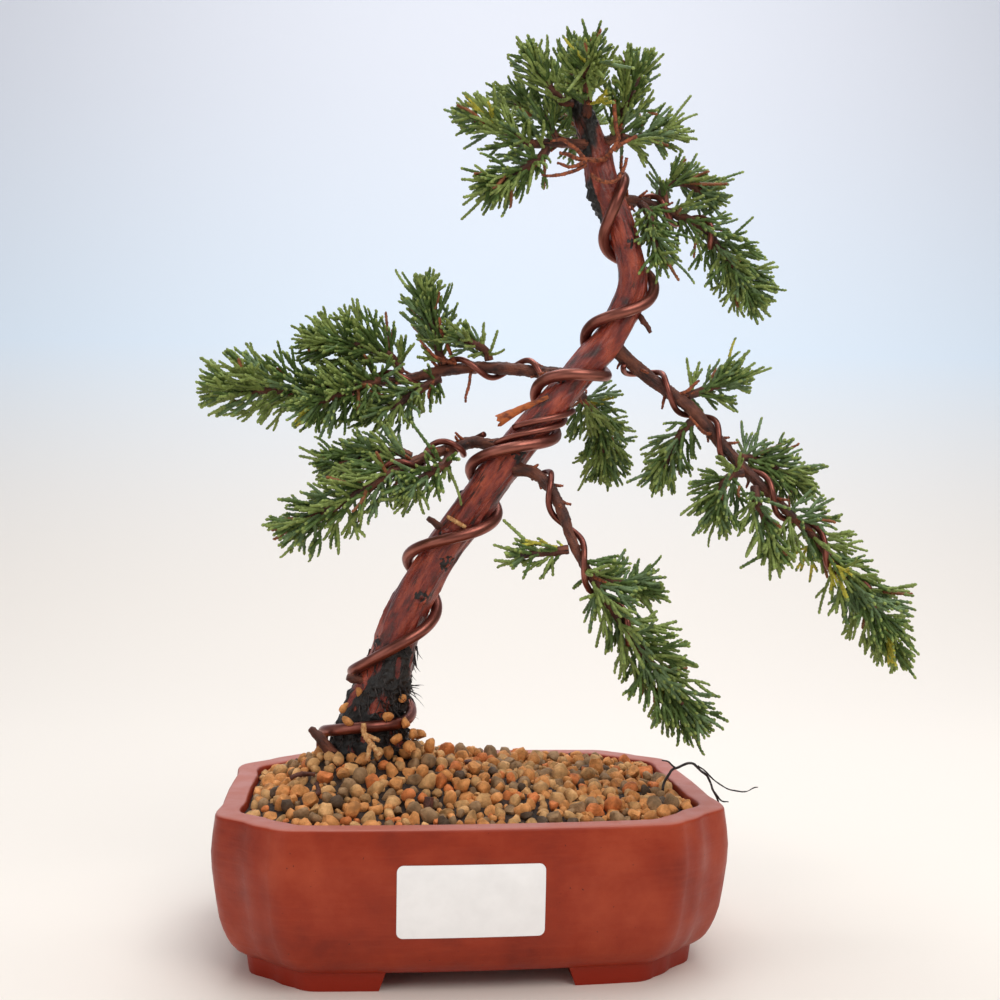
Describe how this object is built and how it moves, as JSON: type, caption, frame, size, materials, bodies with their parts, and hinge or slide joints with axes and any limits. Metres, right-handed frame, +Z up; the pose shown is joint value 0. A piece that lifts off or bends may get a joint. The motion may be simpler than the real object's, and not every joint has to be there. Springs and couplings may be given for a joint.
{
  "type": "juniper bonsai",
  "caption": "Small leaning juniper bonsai shaped with winding wire, its drooping sprays of scale foliage set in a rectangular red-brown ceramic pot on corner feet.",
  "frame": {"origin": "middle of the underside of the whole plant's box, on the surface that the feet stand on", "axes": "+Z up along the plant's height; +X to the right and +Y away from a viewer who faces the pot's labelled front"},
  "size_m": [0.2822, 0.154, 0.3596],
  "materials": {
    "ceramic": "satin red-brown stoneware, darker on the feet",
    "soil": "damp ochre clay granules with dark humus",
    "bark": "fibrous red-brown bark, dark and flaky above",
    "twig": "rough brown bark of the young boughs",
    "foliage": "scale leaves, yellow-green to blue-green, with brown dead twigs",
    "wire": "glossy copper-brown anodised wire",
    "label": "plain white, slightly glossy, left blank",
    "root": "thin dry dark root"
  },
  "bodies": {
    "root": {"bark_flake": "bark", "base_stub": "twig", "bough_back": "twig", "bough_crown_back": "twig", "bough_crown_front": "twig", "bough_crown_left": "twig", "bough_crown_right": "twig", "bough_left_lower": "twig", "bough_left_upper": "twig", "bough_right_lower": "twig", "bough_right_main": "twig", "bough_right_upper": "twig", "foliage_back": "foliage", "foliage_crown_back": "foliage", "foliage_crown_front": "foliage", "foliage_crown_left": "foliage", "foliage_crown_left_low": "foliage", "foliage_crown_left_mid": "foliage", "foliage_crown_left_top": "foliage", "foliage_crown_right": "foliage", "foliage_crown_right_low": "foliage", "foliage_crown_top": "foliage", "foliage_left_lower_inner": "foliage", "foliage_left_lower_tip": "foliage", "foliage_left_lower_top": "foliage", "foliage_left_upper_front": "foliage", "foliage_left_upper_inner": "foliage", "foliage_left_upper_low": "foliage", "foliage_left_upper_mid": "foliage", "foliage_left_upper_tip": "foliage", "foliage_left_upper_top": "foliage", "foliage_right_lower": "foliage", "foliage_right_lower_sprig": "foliage", "foliage_right_lower_top": "foliage", "foliage_right_main_fill": "foliage", "foliage_right_main_low": "foliage", "foliage_right_main_mid": "foliage", "foliage_right_main_tip": "foliage", "foliage_right_main_top": "foliage", "foliage_right_main_under": "foliage", "foliage_right_upper_low": "foliage", "foliage_right_upper_tip": "foliage", "foliage_right_upper_top": "foliage", "label": "label", "pot": "ceramic", "root_strand": "root", "soil": "soil", "trunk": "bark", "wire_left_lower": "wire", "wire_left_upper": "wire", "wire_right_lower": "wire", "wire_right_main": "wire", "wire_right_upper": "wire", "wire_trunk": "wire", "wire_trunk_thin_high": "wire", "wire_trunk_thin_low": "wire"}
  },
  "joints": []
}
